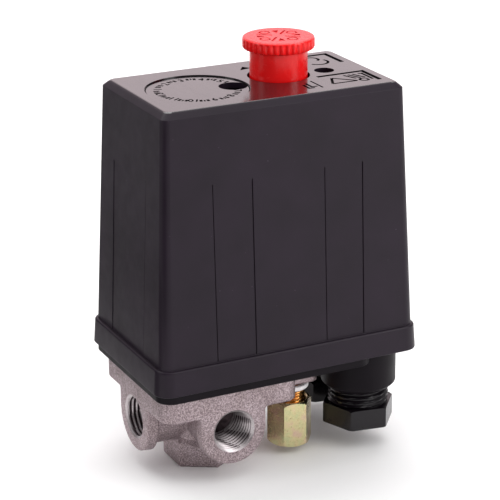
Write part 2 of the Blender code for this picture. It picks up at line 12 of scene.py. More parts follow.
import bmesh
import bpy
from mathutils import Matrix, Vector

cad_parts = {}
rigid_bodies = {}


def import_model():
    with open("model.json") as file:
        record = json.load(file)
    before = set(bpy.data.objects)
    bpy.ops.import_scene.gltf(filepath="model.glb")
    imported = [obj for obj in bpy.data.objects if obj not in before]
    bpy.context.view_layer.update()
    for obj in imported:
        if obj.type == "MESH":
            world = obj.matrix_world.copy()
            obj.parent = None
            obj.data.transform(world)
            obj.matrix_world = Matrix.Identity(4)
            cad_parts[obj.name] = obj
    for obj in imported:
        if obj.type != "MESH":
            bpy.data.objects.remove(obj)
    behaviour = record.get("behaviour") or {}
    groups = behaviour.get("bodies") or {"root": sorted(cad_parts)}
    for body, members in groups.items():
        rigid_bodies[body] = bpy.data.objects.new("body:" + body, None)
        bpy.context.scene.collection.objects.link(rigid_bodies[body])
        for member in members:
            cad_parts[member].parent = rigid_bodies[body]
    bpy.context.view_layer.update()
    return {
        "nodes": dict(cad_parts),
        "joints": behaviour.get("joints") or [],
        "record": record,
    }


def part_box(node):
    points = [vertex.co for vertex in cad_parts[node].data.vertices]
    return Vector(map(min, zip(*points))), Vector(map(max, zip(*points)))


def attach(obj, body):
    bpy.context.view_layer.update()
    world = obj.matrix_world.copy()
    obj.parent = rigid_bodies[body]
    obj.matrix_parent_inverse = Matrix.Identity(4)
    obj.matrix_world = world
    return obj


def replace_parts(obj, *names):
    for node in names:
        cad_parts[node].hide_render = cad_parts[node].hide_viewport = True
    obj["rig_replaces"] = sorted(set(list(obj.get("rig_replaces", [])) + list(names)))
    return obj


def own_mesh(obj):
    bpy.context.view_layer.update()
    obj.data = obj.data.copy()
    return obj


MM = 0.001
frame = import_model()
BODY_OF = {node: body for body, nodes in frame["record"]["behaviour"]["bodies"].items() for node in nodes}
SLOT_OF = {entry["node"]: entry["material_slot"] for entry in frame["record"]["subparts"]}

# Camera: it aims near the object's middle with a long lens
AIM = Vector((0.0175, 0.0009, 0.0635))
AZIMUTH, ELEVATION, ROLL = radians(-26.12), radians(19.79), radians(-0.41)
DISTANCE = 0.6024
LENS = 143.4

# Details that the frame doesn't hold, in millimetres
PIPE_PITCH, PIPE_THREAD = 1.337, 0.62  # quarter-inch pipe thread
PORT_RADIUS, PORT_MOUTH, PORT_DEPTH = 6.1, 6.75, 13.5
HEX_TURN = radians(-9.5)
PORT_HEIGHT = 17.0

# The cover's wall: the lip's height, the shoulder's drop from the top, and how far in the wall is at each
LIP_HEIGHT, SHOULDER_DROP = 7.8, 1.8
LEDGE_INSET, SHOULDER_INSET = 1.56, 4.6


# Frame --------------------------------------------------------------------------------------------


def span(node):
    """A node's lowest and highest corners in millimetres."""
    low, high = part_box(node)
    return low / MM, high / MM


def centre(node):
    low, high = span(node)
    return (low + high) / 2


def heights(node):
    """The heights of a node's foot and top."""
    low, high = span(node)
    return low.z, high.z


# Outlines -----------------------------------------------------------------------------------------


def polar(middle, radius, angle):
    """The point at an angle and a radius from middle."""
    return (middle[0] + radius * cos(angle), middle[1] + radius * sin(angle))


def hexagon(flats, turn=0.0, middle=(0.0, 0.0)):
    """A hexagon whose first flat faces +X when turn is 0."""
    return [polar(middle, flats / sqrt(3), turn + pi / 6 + tau * i / 6) for i in range(6)]


def rounded_rectangle(x0, x1, y0, y1, radius, steps=10):
    corners = ((x1, y1, 0), (x0, y1, 1), (x0, y0, 2), (x1, y0, 3))
    points = []
    for x, y, quarter in corners:
        cx = x - radius if x == x1 else x + radius
        cy = y - radius if y == y1 else y + radius
        for i in range(steps + 1):
            points.append(polar((cx, cy), radius, (quarter + i / steps) * pi / 2))
    return points


def quarter_arc(start, end, bulge_first, steps=5):
    """A quarter ellipse from start to end, in (inset, z). It leaves start along z if bulge_first."""
    points = []
    for i in range(steps + 1):
        a = i / steps * pi / 2
        u, v = (1 - cos(a), sin(a)) if bulge_first else (sin(a), 1 - cos(a))
        points.append((start[0] + (end[0] - start[0]) * u, start[1] + (end[1] - start[1]) * v))
    return points


def at_height(outline, z):
    return [(x, y, z) for x, y in outline]


# Meshes -------------------------------------------------------------------------------------------


def loft(*sections):
    """A closed body through sections that have the same number of points."""
    bm = bmesh.new()
    rings = [[bm.verts.new(point) for point in section] for section in sections]
    count = len(rings[0])
    for low, high in zip(rings, rings[1:]):
        for i in range(count):
            j = (i + 1) % count
            bm.faces.new((low[i], low[j], high[j], high[i]))
    bm.faces.new(rings[0])
    bm.faces.new(rings[-1])
    bmesh.ops.recalc_face_normals(bm, faces=bm.faces)
    return bm


def prism(outline, z0, z1):
    return loft(at_height(outline, z0), at_height(outline, z1))


def box(x0, x1, y0, y1, z0, z1):
    return prism([(x0, y0), (x1, y0), (x1, y1), (x0, y1)], z0, z1)


def with_thread_rows(profile, thread):
    """The profile as (radius, z, threaded) points, with many rows on upright stretches inside the thread."""
    low, high, pitch, _ = thread
    rows = []
    for (r0, z0), (r1, z1) in zip(profile, profile[1:] + profile[:1]):
        upright = r0 == r1 and r0 > 0 and min(z0, z1) >= low - 0.01 and max(z0, z1) <= high + 0.01
        rows.append((r0, z0, False))
        count = int(abs(z1 - z0) / pitch * 8) if upright else 1
        rows += [(r0, z0 + (z1 - z0) * i / count, True) for i in range(1, count)]
    return rows


def thread_height(z, angle, thread):
    """How far the thread's groove goes in at a point: 0 at a crest, 1 at a root, fading out at both ends."""
    low, high, pitch, _ = thread
    phase = (z / pitch - angle / tau) % 1
    groove = min(1.0, 1.25 * (1 - abs(2 * phase - 1)))
    fade = max(0.0, min(1.0, 2 * (z - low) / pitch, 2 * (high - z) / pitch))
    return groove * fade


def turned(profile, steps=64, thread=None):
    """A body of revolution about Z from (radius, z) points, closed on itself or on the axis.

    thread is (low, high, pitch, depth): upright stretches between those heights carry a helical thread, cut
    inwards by depth, or outwards where depth is negative. The roots' faces take the second material, which in
    the manifold's ports is a dark painted shade.
    """
    rows = with_thread_rows(profile, thread) if thread else [(r, z, False) for r, z in profile]
    open_ends = profile[0][0] == 0 and profile[-1][0] == 0
    bm = bmesh.new()
    rings = []
    for radius, z, threaded in rows:
        if radius == 0:
            rings.append([bm.verts.new((0, 0, z))])
            continue
        ring = []
        for i in range(steps):
            angle = tau * i / steps
            r = radius - (thread[3] * thread_height(z, angle, thread) if threaded else 0)
            ring.append(bm.verts.new((r * cos(angle), r * sin(angle), z)))
        rings.append(ring)
    count = len(rings)
    for row in range(count - 1 if open_ends else count):
        a, b = rings[row], rings[(row + 1) % count]
        threaded = thread and (rows[row][2] or rows[(row + 1) % count][2])
        height = (rows[row][1] + rows[(row + 1) % count][1]) / 2
        for i in range(steps):
            j = (i + 1) % steps
            corners = [a[i % len(a)], a[j % len(a)], b[j % len(b)], b[i % len(b)]]
            face = bm.faces.new(list(dict.fromkeys(corners)))
            # Root faces take the second material; in the manifold's ports that is a dark painted shade in the
            # grooves.
            root = bool(threaded) and thread_height(height, tau * (i + 0.5) / steps, thread) > 0.62
            face.material_index = int(root)
    bmesh.ops.recalc_face_normals(bm, faces=bm.faces)
    return bm


def cylinder(radius, z0, z1, steps=64):
    return turned([(0, z0), (radius, z0), (radius, z1), (0, z1)], steps)


def moved(bm, x=0.0, y=0.0, z=0.0):
    bmesh.ops.translate(bm, vec=(x, y, z), verts=bm.verts)
    return bm


def spun(bm, angle, axis="Z"):
    bmesh.ops.rotate(bm, verts=bm.verts, matrix=Matrix.Rotation(angle, 3, axis))
    return bm


def facing(bm, direction, height):
    """Turns a body made about Z so that its +Z end points along direction, at the given height."""
    turn = Vector((0, 0, 1)).rotation_difference(Vector(direction)).to_matrix()
    bmesh.ops.rotate(bm, verts=bm.verts, matrix=turn)
    return moved(bm, 0, 0, height)


def swept(path, radius, sides):
    """A round tube along a list of points, with flat ends."""
    bm = bmesh.new()
    points = [Vector(p) for p in path]
    rings = []
    for behind, point, ahead in zip(points[:1] + points, points, points[1:] + points[-1:]):
        along = (ahead - behind).normalized()
        side = along.cross(Vector((0, 0, 1))).normalized()
        up = side.cross(along)
        rings.append([
            bm.verts.new(point + radius * (cos(tau * k / sides) * side + sin(tau * k / sides) * up))
            for k in range(sides)
        ])
    for a, b in zip(rings, rings[1:]):
        for k in range(sides):
            m = (k + 1) % sides
            bm.faces.new((a[k], a[m], b[m], b[k]))
    bm.faces.new(rings[0])
    bm.faces.new(rings[-1])
    bmesh.ops.recalc_face_normals(bm, faces=bm.faces)
    return bm


def glyph(text, size, depth):
    """A figure as a solid: its foot line on Y = 0, centred on X, from z = -depth to z = depth."""
    curve = bpy.data.curves.new("glyph", "FONT")
    curve.body = text
    curve.size = size
    curve.extrude = depth
    curve.align_x = "CENTER"
    curve.resolution_u = 3
    holder = bpy.data.objects.new("glyph", curve)
    bm = bmesh.new()
    mesh = bpy.data.meshes.new_from_object(holder)
    bm.from_mesh(mesh)
    bmesh.ops.remove_doubles(bm, verts=bm.verts, dist=1e-5)
    bmesh.ops.recalc_face_normals(bm, faces=bm.faces)
    bpy.data.objects.remove(holder)
    bpy.data.meshes.remove(mesh)
    return bm


# Pieces -------------------------------------------------------------------------------------------


def new_object(name, bm, *materials):
    """An object at the origin from a mesh drawn in millimetres. A single material covers all its faces."""
    bmesh.ops.scale(bm, vec=(MM, MM, MM), verts=bm.verts)
    mesh = bpy.data.meshes.new(name)
    bm.to_mesh(mesh)
    bm.free()
    for material in materials:
        mesh.materials.append(material)
    if len(materials) < 2:
        mesh.polygons.foreach_set("material_index", [0] * len(mesh.polygons))
    obj = bpy.data.objects.new(name, mesh)
    bpy.context.scene.collection.objects.link(obj)
    return obj


def bake_modifiers(obj):
    """Replaces the object's mesh with what its modifiers make."""
    bpy.context.view_layer.update()
    graph = bpy.context.evaluated_depsgraph_get()
    mesh = bpy.data.meshes.new_from_object(obj.evaluated_get(graph))
    obj.modifiers.clear()
    old = obj.data
    obj.data = mesh
    bpy.data.meshes.remove(old)


def combine(target, operation, tools, material=None):
    """Joins or cuts target with each tool mesh in turn. A cut face takes the tool's own material."""
    made = []
    materials = material if isinstance(material, tuple) else (material or target.data.materials[0],)
    for bm in tools:
        tool = new_object("tool", bm, *materials)
        modifier = target.modifiers.new("tool", "BOOLEAN")
        modifier.object = tool
        modifier.operation = operation
        modifier.solver = "EXACT"
        modifier.material_mode = "TRANSFER"
        made.append(tool)
    bake_modifiers(target)
    for tool in made:
        mesh = tool.data
        bpy.data.objects.remove(tool)
        bpy.data.meshes.remove(mesh)


def engrave(target, tools, material):
    """Cuts marks one at a time. A cut that comes out empty is made again a hair to one side."""
    for bm in tools:
        for nudge in (0, 0.03, 0.07):
            before = target.data.copy()
            combine(target, "DIFFERENCE", [moved(bm.copy(), nudge, nudge / 2)], material)
            if len(target.data.vertices) > len(before.vertices) / 2:
                bpy.data.meshes.remove(before)
                break
            failed, target.data = target.data, before
            bpy.data.meshes.remove(failed)
        bm.free()


def finish(obj, node, smooth, bevel=0.0, weighted=True):
    """Rounds the edges, shades the piece and puts it in its CAD node's place."""
    if bevel:
        modifier = obj.modifiers.new("edges", "BEVEL")
        modifier.width = bevel * MM
        modifier.segments = 2
        modifier.limit_method = "ANGLE"
        modifier.angle_limit = radians(30)
        modifier.use_clamp_overlap = True
        bake_modifiers(obj)
    obj.data.shade_smooth()
    obj.data.set_sharp_from_angle(angle=radians(smooth))
    if weighted:
        modifier = obj.modifiers.new("normals", "WEIGHTED_NORMAL")
        modifier.keep_sharp = True
    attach(obj, BODY_OF[node])
    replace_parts(obj, node)
    return obj


# Material nodes -----------------------------------------------------------------------------------


class Shading:
    """A Principled material, and short ways to add the nodes that vary it over the surface."""

    def __init__(self, name, colour, roughness, metallic=0.0, **sockets):
        self.material = bpy.data.materials.new(name)
        self.material.use_nodes = True
        self.tree = self.material.node_tree
        self.shader = self.tree.nodes["Principled BSDF"]
        self.shader.inputs["Base Color"].default_value = (*colour, 1.0)
        self.shader.inputs["Roughness"].default_value = roughness
        self.shader.inputs["Metallic"].default_value = metallic
        for socket, value in sockets.items():
            self.shader.inputs[socket.replace("_", " ").title().replace("Ior", "IOR")].default_value = value
        self.place = self.tree.nodes.new("ShaderNodeTexCoord").outputs["Object"]
        self.material.diffuse_color = (*colour, 1.0)

    def stretched(self, x, y, z):
        """Places scaled along the axes, for a grain that runs one way."""
        node = self.tree.nodes.new("ShaderNodeMapping")
        node.inputs["Scale"].default_value = (x, y, z)
        self.tree.links.new(self.place, node.inputs["Vector"])
        return node.outputs["Vector"]

    def noise(self, size, detail=3.0, roughness=0.55, place=None):
        """A noise whose lumps are about size millimetres across."""
        node = self.tree.nodes.new("ShaderNodeTexNoise")
        node.inputs["Scale"].default_value = 1 / (size * MM)
        node.inputs["Detail"].default_value = detail
        node.inputs["Roughness"].default_value = roughness
        self.tree.links.new(place or self.place, node.inputs["Vector"])
        return node.outputs["Fac"]

    def cells(self, size):
        """How far a point is from the middle of its cell, in cells about size millimetres across."""
        node = self.tree.nodes.new("ShaderNodeTexVoronoi")
        node.inputs["Scale"].default_value = 1 / (size * MM)
        self.tree.links.new(self.place, node.inputs["Vector"])
        return node.outputs["Distance"]

    def ramp(self, factor, *stops):
        """Colours or greys along a factor, as (position, colour) stops."""
        node = self.tree.nodes.new("ShaderNodeValToRGB")
        elements = node.color_ramp.elements
        while len(elements) < len(stops):
            elements.new(0.5)
        for element, (position, colour) in zip(elements, stops):
            grey = isinstance(colour, (int, float))
            element.position = position
            element.color = (colour, colour, colour, 1.0) if grey else (*colour, 1.0)
        self.tree.links.new(factor, node.inputs["Fac"])
        return node.outputs["Color"]

    def mix(self, factor, first, second, how="MIX"):
        node = self.tree.nodes.new("ShaderNodeMix")
        node.data_type = "RGBA"
        node.blend_type = how
        for socket, value in ((0, factor), (6, first), (7, second)):
            if isinstance(value, bpy.types.NodeSocket):
                self.tree.links.new(value, node.inputs[socket])
            elif isinstance(value, tuple):
                node.inputs[socket].default_value = (*value, 1.0)
            else:
                node.inputs[socket].default_value = value
        return node.outputs[2]

    def bump(self, height, depth, strength=1.0, under=None):
        """A normal pushed in and out by height, where 1 stands depth millimetres above 0."""
        node = self.tree.nodes.new("ShaderNodeBump")
        node.inputs["Distance"].default_value = depth * MM
        node.inputs["Strength"].default_value = strength
        self.tree.links.new(height, node.inputs["Height"])
        if under:
            self.tree.links.new(under, node.inputs["Normal"])
        return node.outputs["Normal"]

    def drive(self, socket, output):
        self.tree.links.new(output, self.shader.inputs[socket])

    def vary(self, socket, size, detail, low, high):
        """Drives a socket from low to high with a noise whose lumps are about size millimetres across."""
        self.drive(socket, self.ramp(self.noise(size, detail), (0.3, low), (0.7, high)))


def moulded_black(name, colour, rough, grain, gloss=0.5, specks=True):
    """Moulded black plastic: slow cloudiness, a fine grain and a few pale specks of dust."""
    s = Shading(name, colour, rough, specular_ior_level=gloss)
    cloud = s.noise(14, 2)
    shade = s.ramp(cloud, (0.3, tuple(c * 0.85 for c in colour)), (0.75, tuple(c * 1.2 for c in colour)))
    if specks:
        dust = s.ramp(s.cells(3.4), (0.0, 1.0), (0.045, 1.0), (0.06, 0.0))
        thin = s.ramp(s.noise(9, 2), (0.52, 0.0), (0.6, 0.8))
        shade = s.mix(s.mix(1.0, dust, thin, "MULTIPLY"), shade, tuple(0.02 + 4 * c for c in colour))
    s.drive("Base Color", shade)
    s.vary("Roughness", 5, 4, rough * 0.88, rough * 1.15)
    s.drive("Normal", s.bump(s.noise(grain, 3), 0.012))
    return s.material


def polished_black(name, colour):
    """The polished top: nearly mirror smooth, with faint wipe marks and a slight waviness."""
    s = Shading(name, colour, 0.12, specular_ior_level=0.9, coat_weight=0.35, coat_roughness=0.1)
    wipe = s.noise(3, 4, 0.6, s.stretched(1.0, 0.16, 1.0))
    s.drive("Roughness", s.ramp(wipe, (0.35, 0.13), (0.7, 0.22)))
    s.vary("Base Color", 8, 3, tuple(c * 0.8 for c in colour), colour)
    s.drive("Normal", s.bump(s.noise(6, 2), 0.01, 0.6, s.bump(s.noise(0.25, 2), 0.002)))
    return s.material


def matt_engraving(name, colour):
    s = Shading(name, colour, 0.85, specular_ior_level=0.1)
    s.vary("Base Color", 0.6, 3, tuple(c * 0.6 for c in colour), colour)
    s.drive("Normal", s.bump(s.noise(0.2, 2), 0.02))
    return s.material


def red_plastic():
    """Glossy red moulding, a little translucent, with worn paler high spots."""
    colour = (0.70, 0.010, 0.012)
    s = Shading("red_plastic", colour, 0.3, specular_ior_level=0.36, coat_weight=0.05, coat_roughness=0.15)
    s.shader.inputs["Subsurface Weight"].default_value = 0.12
    s.shader.inputs["Subsurface Radius"].default_value = (0.6 * MM, 0.1 * MM, 0.1 * MM)
    s.shader.inputs["Subsurface Scale"].default_value = 1.0
    s.vary("Base Color", 4, 3, (0.84, 0.004, 0.005), (0.94, 0.006, 0.007))
    s.vary("Roughness", 1.5, 4, 0.2, 0.3)
    s.drive("Normal", s.bump(s.noise(0.3, 3), 0.004, 1.0, s.bump(s.noise(5, 2), 0.03)))
    return s.material


def cast_aluminium():
    """The die-cast skin after blasting: a fine bright and dark grain over slow stains."""
    s = Shading("cast_aluminium", (0.40, 0.36, 0.375), 0.5, 0.85)
    grain = s.ramp(s.noise(0.34, 4, 0.7), (0.36, (0.18, 0.135, 0.147)), (0.5, (0.36, 0.288, 0.305)),
                   (0.66, (0.66, 0.56, 0.58)))
    stain = s.ramp(s.noise(7, 4), (0.35, (0.80, 0.78, 0.77)), (0.65, (1.0, 1.0, 1.0)))
    pits = s.ramp(s.cells(0.9), (0.0, 0.35), (0.11, 0.4), (0.2, 1.0))
    colour = s.mix(0.75, s.mix(1.0, grain, stain, "MULTIPLY"), pits, "MULTIPLY")
    s.drive("Base Color", colour)
    s.vary("Roughness", 0.5, 3, 0.42, 0.62)
    fine = s.bump(s.noise(0.3, 4, 0.65), 0.07)
    s.drive("Normal", s.bump(s.noise(2.2, 3), 0.06, 0.8, fine))
    return s.material


def machined_aluminium():
    """Freshly cut metal: bright, with fine tool marks."""
    s = Shading("machined_aluminium", (0.52, 0.48, 0.49), 0.24, 1.0)
    marks = s.noise(0.25, 4, 0.7)
    s.drive("Base Color", s.ramp(marks, (0.3, (0.36, 0.32, 0.33)), (0.7, (0.64, 0.59, 0.60))))
    s.vary("Roughness", 0.8, 3, 0.3, 0.44)
    s.drive("Normal", s.bump(marks, 0.012))
    return s.material


def yellow_zinc():
    """Yellow-passivated zinc: pale gold that drifts to green and pink, with small dull spots."""
    s = Shading("yellow_zinc", (0.66, 0.56, 0.3), 0.3, 1.0)
    drift = s.ramp(s.noise(3.2, 3), (0.32, (0.60, 0.60, 0.33)), (0.47, (0.70, 0.62, 0.34)),
                   (0.58, (0.72, 0.58, 0.36)), (0.7, (0.72, 0.52, 0.40)))
    spots = s.ramp(s.noise(0.5, 4, 0.7), (0.34, (0.74, 0.62, 0.56)), (0.44, (1.0, 1.0, 1.0)))
    s.drive("Base Color", s.mix(0.8, drift, spots, "MULTIPLY"))
    s.vary("Roughness", 0.7, 4, 0.18, 0.3)
    brushed = s.bump(s.noise(0.3, 3, 0.6, s.stretched(1.0, 1.0, 0.12)), 0.01)
    s.drive("Normal", s.bump(s.noise(1.5, 3), 0.02, 1.0, brushed))
    return s.material


def worn_metal(name, bright, dark, rough, grain=0.5):
    """Turned, drawn or stamped metal, with a tarnish that follows a noise."""
    s = Shading(name, bright, rough, 1.0)
    s.drive("Base Color", s.ramp(s.noise(2.5, 4, 0.6), (0.3, dark), (0.62, bright)))
    s.vary("Roughness", grain * 2, 4, rough * 0.8, rough * 1.35)
    s.drive("Normal", s.bump(s.noise(grain, 3), 0.02))
    return s.material


def dull_polymer(name, colour, rough, grain, depth):
    """Rubber, phenolic or nylon: cloudy colour and a fine surface."""
    s = Shading(name, colour, rough)
    s.vary("Base Color", 1.2, 4, tuple(c * 0.75 for c in colour), colour)
    s.vary("Roughness", 0.8, 3, rough * 0.85, min(1.0, rough * 1.15))
    s.drive("Normal", s.bump(s.noise(grain, 3), depth))
    return s.material


SIDE_BLACK = moulded_black("satin_black_plastic", (0.0125, 0.0072, 0.0138), 0.38, 0.45, 0.2)
TOP_BLACK = polished_black("polished_black_plastic", (0.010, 0.007, 0.009))
BASE_BLACK = moulded_black("base_black_plastic", (0.0055, 0.0036, 0.0058), 0.45, 0.35, 0.1, specks=False)
NUT_BLACK = moulded_black("gland_nut_plastic", (0.0048, 0.0032, 0.0052), 0.24, 0.4, 0.36, specks=False)
ENGRAVED_BLACK = matt_engraving("engraved_black", (0.0035, 0.0025, 0.003))
ENGRAVED_RED = matt_engraving("engraved_red", (0.72, 0.012, 0.02))
RED = red_plastic()
CAST = cast_aluminium()
MACHINED = machined_aluminium()
# Painted shade: a dark metal for the thread roots and drill points in the manifold's ports, standing in for
# the shade inside them.
PAINTED_ROOT_SHADE = worn_metal("thread_root_painted_shade", (0.12, 0.09, 0.096), (0.05, 0.034, 0.04), 0.5)
YELLOW_ZINC = yellow_zinc()
COPPERY_BRASS = worn_metal("coppery_brass", (0.90, 0.50, 0.16), (0.45, 0.20, 0.06), 0.2)
SLOT_MATERIALS = {
    "cover_plastic": SIDE_BLACK,
    "base_plastic": BASE_BLACK,
    "knob_plastic": RED,
    "cast_aluminium": CAST,
    "plated_steel": worn_metal("plated_steel", (0.56, 0.56, 0.55), (0.44, 0.44, 0.45), 0.3),
    "spring_steel": worn_metal("spring_steel", (0.55, 0.55, 0.57), (0.30, 0.30, 0.32), 0.25, 0.3),
    "yellow_zinc": YELLOW_ZINC,
    "turned_brass": worn_metal("turned_brass", (0.80, 0.56, 0.22), (0.52, 0.34, 0.12), 0.24),
    "contact_copper": worn_metal("contact_copper", (0.86, 0.47, 0.30), (0.50, 0.24, 0.15), 0.28),
    "black_rubber": dull_polymer("black_rubber", (0.016, 0.016, 0.017), 0.8, 0.4, 0.03),
    "brown_phenolic": dull_polymer("brown_phenolic", (0.13, 0.055, 0.03), 0.42, 0.6, 0.02),
    "natural_nylon": dull_polymer("natural_nylon", (0.95, 0.92, 0.93), 0.4, 0.5, 0.01),
}


# Cover --------------------------------------------------------------------------------------------


def wall_section(node, inset, radius, z):
    low, high = span(node)
    return at_height(
        rounded_rectangle(low.x + inset, high.x - inset, low.y + inset, high.y - inset, radius), z
    )


def cover_shell():
    """The tapered box: a rolled lip, a ledge, sloping walls, a chamfered shoulder and a flat top."""
    low, high = span("cover")
    lip = low.z + LIP_HEIGHT
    shoulder = high.z - SHOULDER_DROP
    profile = quarter_arc((0.3, low.z), (0.0, low.z + 0.3), False, 3)
    profile += quarter_arc((0.5, lip - 0.7), (1.05, lip), True)
    profile += [(1.5, lip + 0.02), (LEDGE_INSET, lip + 0.1)]
    profile += [(SHOULDER_INSET, shoulder - 0.12), (4.63, shoulder), (4.72, shoulder + 0.1)]
    profile += [(5.9, high.z - 0.55)]
    profile += [(6.25, high.z - 0.22), (6.6, high.z - 0.05), (7.0, high.z)]

    def corner(inset):
        return 5.0 - inset if inset < 1.2 else 3.6 - 0.28 * inset

    return loft(*(wall_section("cover", inset, corner(inset), z) for inset, z in profile))


def cover_cavity():
    low, high = span("cover")
    wall = 2.2
    steps = ((2.05, 3.4, low.z - 1), (3.75, 2.6, low.z + LIP_HEIGHT), (6.85, 2.0, high.z - wall))
    return loft(*(wall_section("cover", inset, radius, z) for inset, radius, z in steps))


def wall_strips():
    """Shallow upright bands in the walls, with a fine groove along each edge."""
    low, high = span("cover")
    middle, half = centre("cover"), (high - low) / 2
    near, far = 11.7, 24.2
    ledge = low.z + LIP_HEIGHT + 0.1
    z0, z1 = low.z + 8.1, high.z - 22.3
    slope = (SHOULDER_INSET - LEDGE_INSET) / (high.z - SHOULDER_DROP - ledge)

    def cut(end_wall, sign, a, b, depth, top):
        inner = []
        for across, z in ((a, z0), (b, z0), (b, top), (a, top)):
            out = (half.x if end_wall else half.y) - LEDGE_INSET - slope * (z - ledge) - depth
            x, y = (sign * out, across) if end_wall else (across, sign * out)
            inner.append((middle.x + x, y, z))
        away = Vector((5 * sign, 0, 0)) if end_wall else Vector((0, 5 * sign, 0))
        return loft(inner, [Vector(point) + away for point in inner])

    bands = [(True, -near, near)] + [(False, *sorted((side * near, side * far))) for side in (-1, 1)]
    for end_wall, a, b in bands:
        for sign in (-1, 1):
            yield cut(end_wall, sign, a, b, 0.1, z1)
            for edge in (a, b):
                yield cut(end_wall, sign, edge - 0.17, edge + 0.17, 0.36, z1 + 0.3)


def groove(points, width, top, depth):
    """An engraved line through points on the top face, mitred at its corners."""
    flat = [Vector(p) for p in points]
    left, right = [], []
    for i, point in enumerate(flat):
        into = (point - flat[i - 1]).normalized() if i else (flat[1] - point).normalized()
        out = (flat[i + 1] - point).normalized() if i < len(flat) - 1 else into
        along = (into + out).normalized()
        across = Vector((-along.y, along.x))
        reach = width / 2 / max(0.35, along.dot(into))
        left.append(point + across * reach)
        right.append(point - across * reach)
    outline = [(p.x, p.y) for p in left + right[::-1]]
    return prism(outline, top - depth, top + 1)


def arc_groove(middle, radius, start, end, width, top, depth):
    """An engraved arc. Its ends are in degrees."""
    steps = 24
    angles = [radians(start + (end - start) * i / steps) for i in range(steps + 1)]
    return groove([polar(middle, radius, angle) for angle in angles], width, top, depth)


def dial_marks(middle, top):
    """Figures and ticks round the sunk dial, like a pressure scale, and a fine groove round its edge."""
    depth = 0.4
    ring = [(14.95, top - depth), (15.3, top - depth), (15.3, top + 1), (14.95, top + 1)]
    yield moved(turned(ring, 96), *middle)
    for number in range(12):
        angle = 90 - 30 * (number - 2)
        if angle == 0:  # the adjuster's hole takes the +X side
            continue
        x, y = polar(middle, 10.4, radians(angle))
        for shift in (-0.15, 0.15):
            figure = spun(glyph(str(number + 1), 3.5, depth), radians(angle - 90))
            yield moved(figure, x, y + shift, top)
        for step, inner, width in ((-10, 11.0, 0.85), (10, 11.0, 0.85), (15, 11.4, 0.5)):
            ends = [polar(middle, radius, radians(angle + step)) for radius in (inner, 12.8)]
            yield groove(ends, width, top, depth)


def corner_marks(top):
    """Engraved brackets and simple signs round the smaller adjuster's hole."""
    depth, wide, thin = 0.5, 1.45, 0.85
    yield groove([(38.0, 17.2), (51.6, 17.2), (51.7, 6.3)], wide, top, depth)
    yield arc_groove((44.6, 13.0), 2.2, 150, -60, thin, top, depth)
    yield arc_groove((45.0, 9.6), 3.2, -150, 30, thin, top, depth)
    yield groove([(36.5, -6.0), (51.7, -5.8), (51.7, -16.8)], wide, top, depth)
    peak, left, right = (39.6, -9.2), (37.0, -14.9), (45.2, -14.9)
    for ends in ((peak, left), (left, right), (right, peak)):
        yield groove(ends, thin, top, depth)
    for offset in (0.0, 1.5, 3.0):
        yield groove([(44.2 + offset, -8.0), (46.0 + offset, -12.6)], thin, top, depth)
    yield arc_groove((47.6, -14.6), 1.3, 0, 340, thin, top, depth)
    yield groove([(49.0, -8.2), (50.2, -8.2), (50.2, -15.2)], thin, top, depth)
    yield groove([(32.6, -9.1), (32.6, -17.1)], 0.6, top, depth)
    yield groove([(30.0, -11.0), (30.0, -15.0), (31.9, -15.0)], thin, top, depth)
    yield groove([(28.6, -12.2), (28.6, -16.2), (30.4, -16.2)], thin, top, depth)
    yield prism([(19.9, 11.6), (24.0, 12.5), (22.2, 15.0)], top - depth, top + 1)


def make_cover():
    low, high = span("cover")
    top = high.z
    cover = new_object("cover_shell", cover_shell(), SIDE_BLACK, TOP_BLACK, ENGRAVED_BLACK)
    for face in cover.data.polygons:
        if face.normal.z > 0.9 and face.center.z > (top - 1) * MM:
            face.material_index = 1
    combine(cover, "DIFFERENCE", [cover_cavity()])
    screws = [centre(f"cover_screw_{number}") for number in (1, 2)]
    bosses = [moved(cylinder(3.4, low.z + 3, low.z + 29), at.x, at.y) for at in screws]
    combine(cover, "UNION", bosses)
    holes = [moved(cylinder(1.9, low.z + 2, low.z + 15, 32), at.x, at.y) for at in screws]
    combine(cover, "DIFFERENCE", holes + list(wall_strips()))
    dial = (-0.1, -1.3)
    combine(cover, "DIFFERENCE", [moved(cylinder(15.4, top - 0.4, top + 1, 96), *dial)], TOP_BLACK)
    knob, main, small = (centre(n) for n in ("knob", "main_adjusting_screw", "differential_adjusting_screw"))
    wells = [
        moved(cylinder(radius, top - 6, top + 1), at.x, at.y)
        for at, radius in ((knob, 9.35), (main, 4.25), (small, 3.0))
    ]
    marks = list(dial_marks(dial, top - 0.4)) + list(corner_marks(top))
    combine(cover, "DIFFERENCE", wells, SIDE_BLACK)
    engrave(cover, marks, ENGRAVED_BLACK)
    finish(cover, "cover", 32)


# Base frame ---------------------------------------------------------------------------------------


